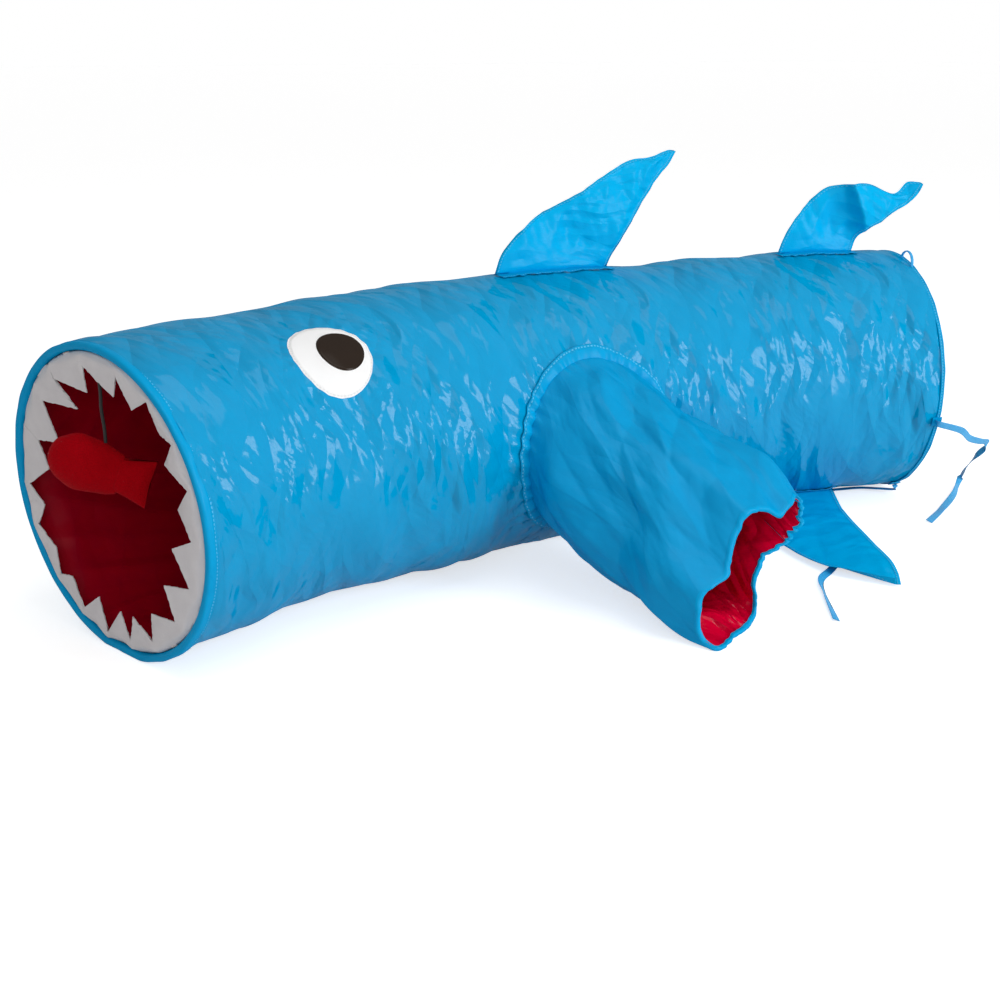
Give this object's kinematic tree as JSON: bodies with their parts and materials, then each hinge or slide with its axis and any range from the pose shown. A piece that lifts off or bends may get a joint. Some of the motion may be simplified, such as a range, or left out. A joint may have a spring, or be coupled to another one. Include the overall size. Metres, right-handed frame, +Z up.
{
  "type": "cat tunnel",
  "caption": "Cloth play tunnel shaped like a shark, on sprung hoops, with a toothed mouth, a hanging toy fish, fins, a limp side sleeve and ribbon ties.",
  "frame": {"origin": "on the floor under the middle of the tunnel's centreline", "axes": "+X along the tunnel from its mouth to its tail, +Z up, -Y towards the side sleeve"},
  "size_m": [0.9342, 0.5675, 0.3566],
  "materials": {
    "blue_cloth": "glossy crinkled polyester",
    "blue_satin": "smooth satin over thin padding",
    "blue_band": "stitched binding",
    "blue_sleeve": "soft matte polyester",
    "blue_ribbon": "woven ribbon",
    "crinkle_film": "thin crinkling film",
    "maroon_lining": "satin polyester",
    "red_lining": "glossy polyester",
    "maroon_tape": "woven tape",
    "spring_steel": "spring wire",
    "white_felt": "stiff felt",
    "eye_white": "sewn patch",
    "eye_pupil": "glossy coated patch",
    "black_string": "twisted cord",
    "red_plush": "short pile plush"
  },
  "bodies": {
    "tail_end": {"tail_hoop": "spring_steel", "tail_ferrule": "spring_steel", "tail_binding": "blue_band", "near_tie_tab": "blue_band", "rear_tie_tab": "blue_band", "near_tie": "blue_ribbon", "rear_tie": "blue_ribbon", "tail_loop": "blue_ribbon"},
    "rear_panel": {"rear_shell": "blue_cloth", "rear_film": "crinkle_film", "rear_lining": "maroon_lining", "tail_flange": "blue_band", "near_side_flange": "blue_band", "far_side_flange": "blue_band"},
    "rear_hoop_body": {"rear_hoop": "spring_steel", "rear_ferrule": "spring_steel", "rear_casing": "maroon_tape"},
    "middle_panel": {"middle_shell": "blue_cloth", "middle_film": "crinkle_film", "middle_lining": "maroon_lining", "dorsal_flange": "blue_band", "sleeve_band": "blue_band"},
    "front_hoop_body": {"front_hoop": "spring_steel", "front_ferrule": "spring_steel", "front_casing": "maroon_tape"},
    "front_panel": {"front_shell": "blue_cloth", "front_film": "crinkle_film", "front_lining": "maroon_lining", "near_eye_white": "eye_white", "near_eye_pupil": "eye_pupil", "far_eye_white": "eye_white", "far_eye_pupil": "eye_pupil"},
    "mouth_end": {"mouth_hoop": "spring_steel", "mouth_ferrule": "spring_steel", "mouth_binding": "blue_band", "teeth_ring": "white_felt", "toy_tab": "white_felt"},
    "toy_loop_body": {"toy_loop": "black_string"},
    "toy_string_body": {"toy_string": "black_string"},
    "toy_fish": {"fish_body": "red_plush", "fish_tail": "red_plush"},
    "dorsal_fin_body": {"dorsal_fin": "blue_satin"},
    "tail_fin_body": {"tail_fin": "blue_satin"},
    "near_side_fin_body": {"near_side_fin": "blue_satin"},
    "far_side_fin_body": {"far_side_fin": "blue_satin"},
    "sleeve_body": {"sleeve_cloth": "blue_sleeve", "sleeve_lining": "red_lining", "sleeve_hem": "blue_sleeve"}
  },
  "joints": [
    {"name": "rear_hoop_fold", "type": "hinge", "parent": "tail_end", "child": "rear_hoop_body", "pos_m": [0, -1.295, 0], "axis": [0, 0, -1], "range_deg": [0, 11.7], "deforming": ["front_shell", "front_film", "front_lining", "middle_shell", "middle_film", "middle_lining", "rear_shell", "rear_film", "rear_lining", "near_eye_white", "near_eye_pupil", "far_eye_white", "far_eye_pupil", "dorsal_flange", "tail_flange", "near_side_flange", "far_side_flange", "dorsal_fin", "tail_fin", "near_side_fin", "far_side_fin", "sleeve_band", "sleeve_cloth", "sleeve_lining", "sleeve_hem"]},
    {"name": "rear_panel_fold", "type": "hinge", "parent": "tail_end", "child": "rear_panel", "pos_m": [0, -1.295, 0], "axis": [0, 0, -1], "range_deg": [0, 5.85], "deforming": ["front_shell", "front_film", "front_lining", "middle_shell", "middle_film", "middle_lining", "rear_shell", "rear_film", "rear_lining", "near_eye_white", "near_eye_pupil", "far_eye_white", "far_eye_pupil", "dorsal_flange", "tail_flange", "near_side_flange", "far_side_flange", "dorsal_fin", "tail_fin", "near_side_fin", "far_side_fin", "sleeve_band", "sleeve_cloth", "sleeve_lining", "sleeve_hem"]},
    {"name": "middle_panel_fold", "type": "hinge", "parent": "rear_hoop_body", "child": "middle_panel", "pos_m": [0, -1.295, 0], "axis": [0, 0, -1], "range_deg": [0, 5.85], "deforming": ["front_shell", "front_film", "front_lining", "middle_shell", "middle_film", "middle_lining", "rear_shell", "rear_film", "rear_lining", "near_eye_white", "near_eye_pupil", "far_eye_white", "far_eye_pupil", "dorsal_flange", "tail_flange", "near_side_flange", "far_side_flange", "dorsal_fin", "tail_fin", "near_side_fin", "far_side_fin", "sleeve_band", "sleeve_cloth", "sleeve_lining", "sleeve_hem"]},
    {"name": "front_hoop_fold", "type": "hinge", "parent": "rear_hoop_body", "child": "front_hoop_body", "pos_m": [0, -1.295, 0], "axis": [0, 0, -1], "range_deg": [0, 11.7], "deforming": ["front_shell", "front_film", "front_lining", "middle_shell", "middle_film", "middle_lining", "rear_shell", "rear_film", "rear_lining", "near_eye_white", "near_eye_pupil", "far_eye_white", "far_eye_pupil", "dorsal_flange", "tail_flange", "near_side_flange", "far_side_flange", "dorsal_fin", "tail_fin", "near_side_fin", "far_side_fin", "sleeve_band", "sleeve_cloth", "sleeve_lining", "sleeve_hem"]},
    {"name": "front_panel_fold", "type": "hinge", "parent": "front_hoop_body", "child": "front_panel", "pos_m": [0, -1.295, 0], "axis": [0, 0, -1], "range_deg": [0, 5.85], "deforming": ["front_shell", "front_film", "front_lining", "middle_shell", "middle_film", "middle_lining", "rear_shell", "rear_film", "rear_lining", "near_eye_white", "near_eye_pupil", "far_eye_white", "far_eye_pupil", "dorsal_flange", "tail_flange", "near_side_flange", "far_side_flange", "dorsal_fin", "tail_fin", "near_side_fin", "far_side_fin", "sleeve_band", "sleeve_cloth", "sleeve_lining", "sleeve_hem"]},
    {"name": "mouth_fold", "type": "hinge", "parent": "front_hoop_body", "child": "mouth_end", "pos_m": [0, -1.295, 0], "axis": [0, 0, -1], "range_deg": [0, 11.7], "deforming": ["front_shell", "front_film", "front_lining", "middle_shell", "middle_film", "middle_lining", "rear_shell", "rear_film", "rear_lining", "near_eye_white", "near_eye_pupil", "far_eye_white", "far_eye_pupil", "dorsal_flange", "tail_flange", "near_side_flange", "far_side_flange", "dorsal_fin", "tail_fin", "near_side_fin", "far_side_fin", "sleeve_band", "sleeve_cloth", "sleeve_lining", "sleeve_hem"]},
    {"name": "toy_swing", "type": "hinge", "parent": "mouth_end", "child": "toy_loop_body", "pos_m": [-0.41074, -0.07142, 0.23263], "axis": [-0.3182, 0.948, 0], "range_deg": [-45, 45]},
    {"name": "toy_sway", "type": "hinge", "parent": "toy_loop_body", "child": "toy_string_body", "pos_m": [-0.41074, -0.07142, 0.22743], "axis": [0.948, 0.3182, 0], "range_deg": [-25, 25]},
    {"name": "fish_spin", "type": "hinge", "parent": "toy_string_body", "child": "toy_fish", "pos_m": [-0.41074, -0.07142, 0.17363], "axis": [0, 0, 1], "continuous": true},
    {"name": "dorsal_fin_flop", "type": "hinge", "parent": "middle_panel", "child": "dorsal_fin_body", "pos_m": [0.03399, -0.00086, 0.2499], "axis": [0.9997, -0.0263, 0], "range_deg": [-75, 75], "stiffness_Nm_per_rad": 0.02},
    {"name": "tail_fin_flop", "type": "hinge", "parent": "rear_panel", "child": "tail_fin_body", "pos_m": [0.32835, -0.0424, 0.2499], "axis": [0.9673, -0.2536, 0], "range_deg": [-75, 75], "stiffness_Nm_per_rad": 0.02},
    {"name": "near_side_fin_lift", "type": "hinge", "parent": "rear_panel", "child": "near_side_fin_body", "pos_m": [0.25194, -0.09039, 0.01284], "axis": [-0.9788, 0.2047, 0], "range_deg": [0, 25]},
    {"name": "far_side_fin_lift", "type": "hinge", "parent": "rear_panel", "child": "far_side_fin_body", "pos_m": [0.27796, 0.03404, 0.01284], "axis": [0.9788, -0.2047, 0], "range_deg": [0, 25]},
    {"name": "sleeve_lift", "type": "hinge", "parent": "middle_panel", "child": "sleeve_body", "pos_m": [0, -0.12613, 0.117], "axis": [-1, 0, 0], "range_deg": [0, 25], "deforming": ["sleeve_cloth", "sleeve_lining", "sleeve_band"]}
  ],
  "couplings": [
    {"joint": "rear_panel_fold", "follows": "rear_hoop_fold", "ratio": 0.5},
    {"joint": "middle_panel_fold", "follows": "rear_hoop_fold", "ratio": 0.5},
    {"joint": "front_hoop_fold", "follows": "rear_hoop_fold", "ratio": 1},
    {"joint": "front_panel_fold", "follows": "rear_hoop_fold", "ratio": 0.5},
    {"joint": "mouth_fold", "follows": "rear_hoop_fold", "ratio": 1}
  ]
}
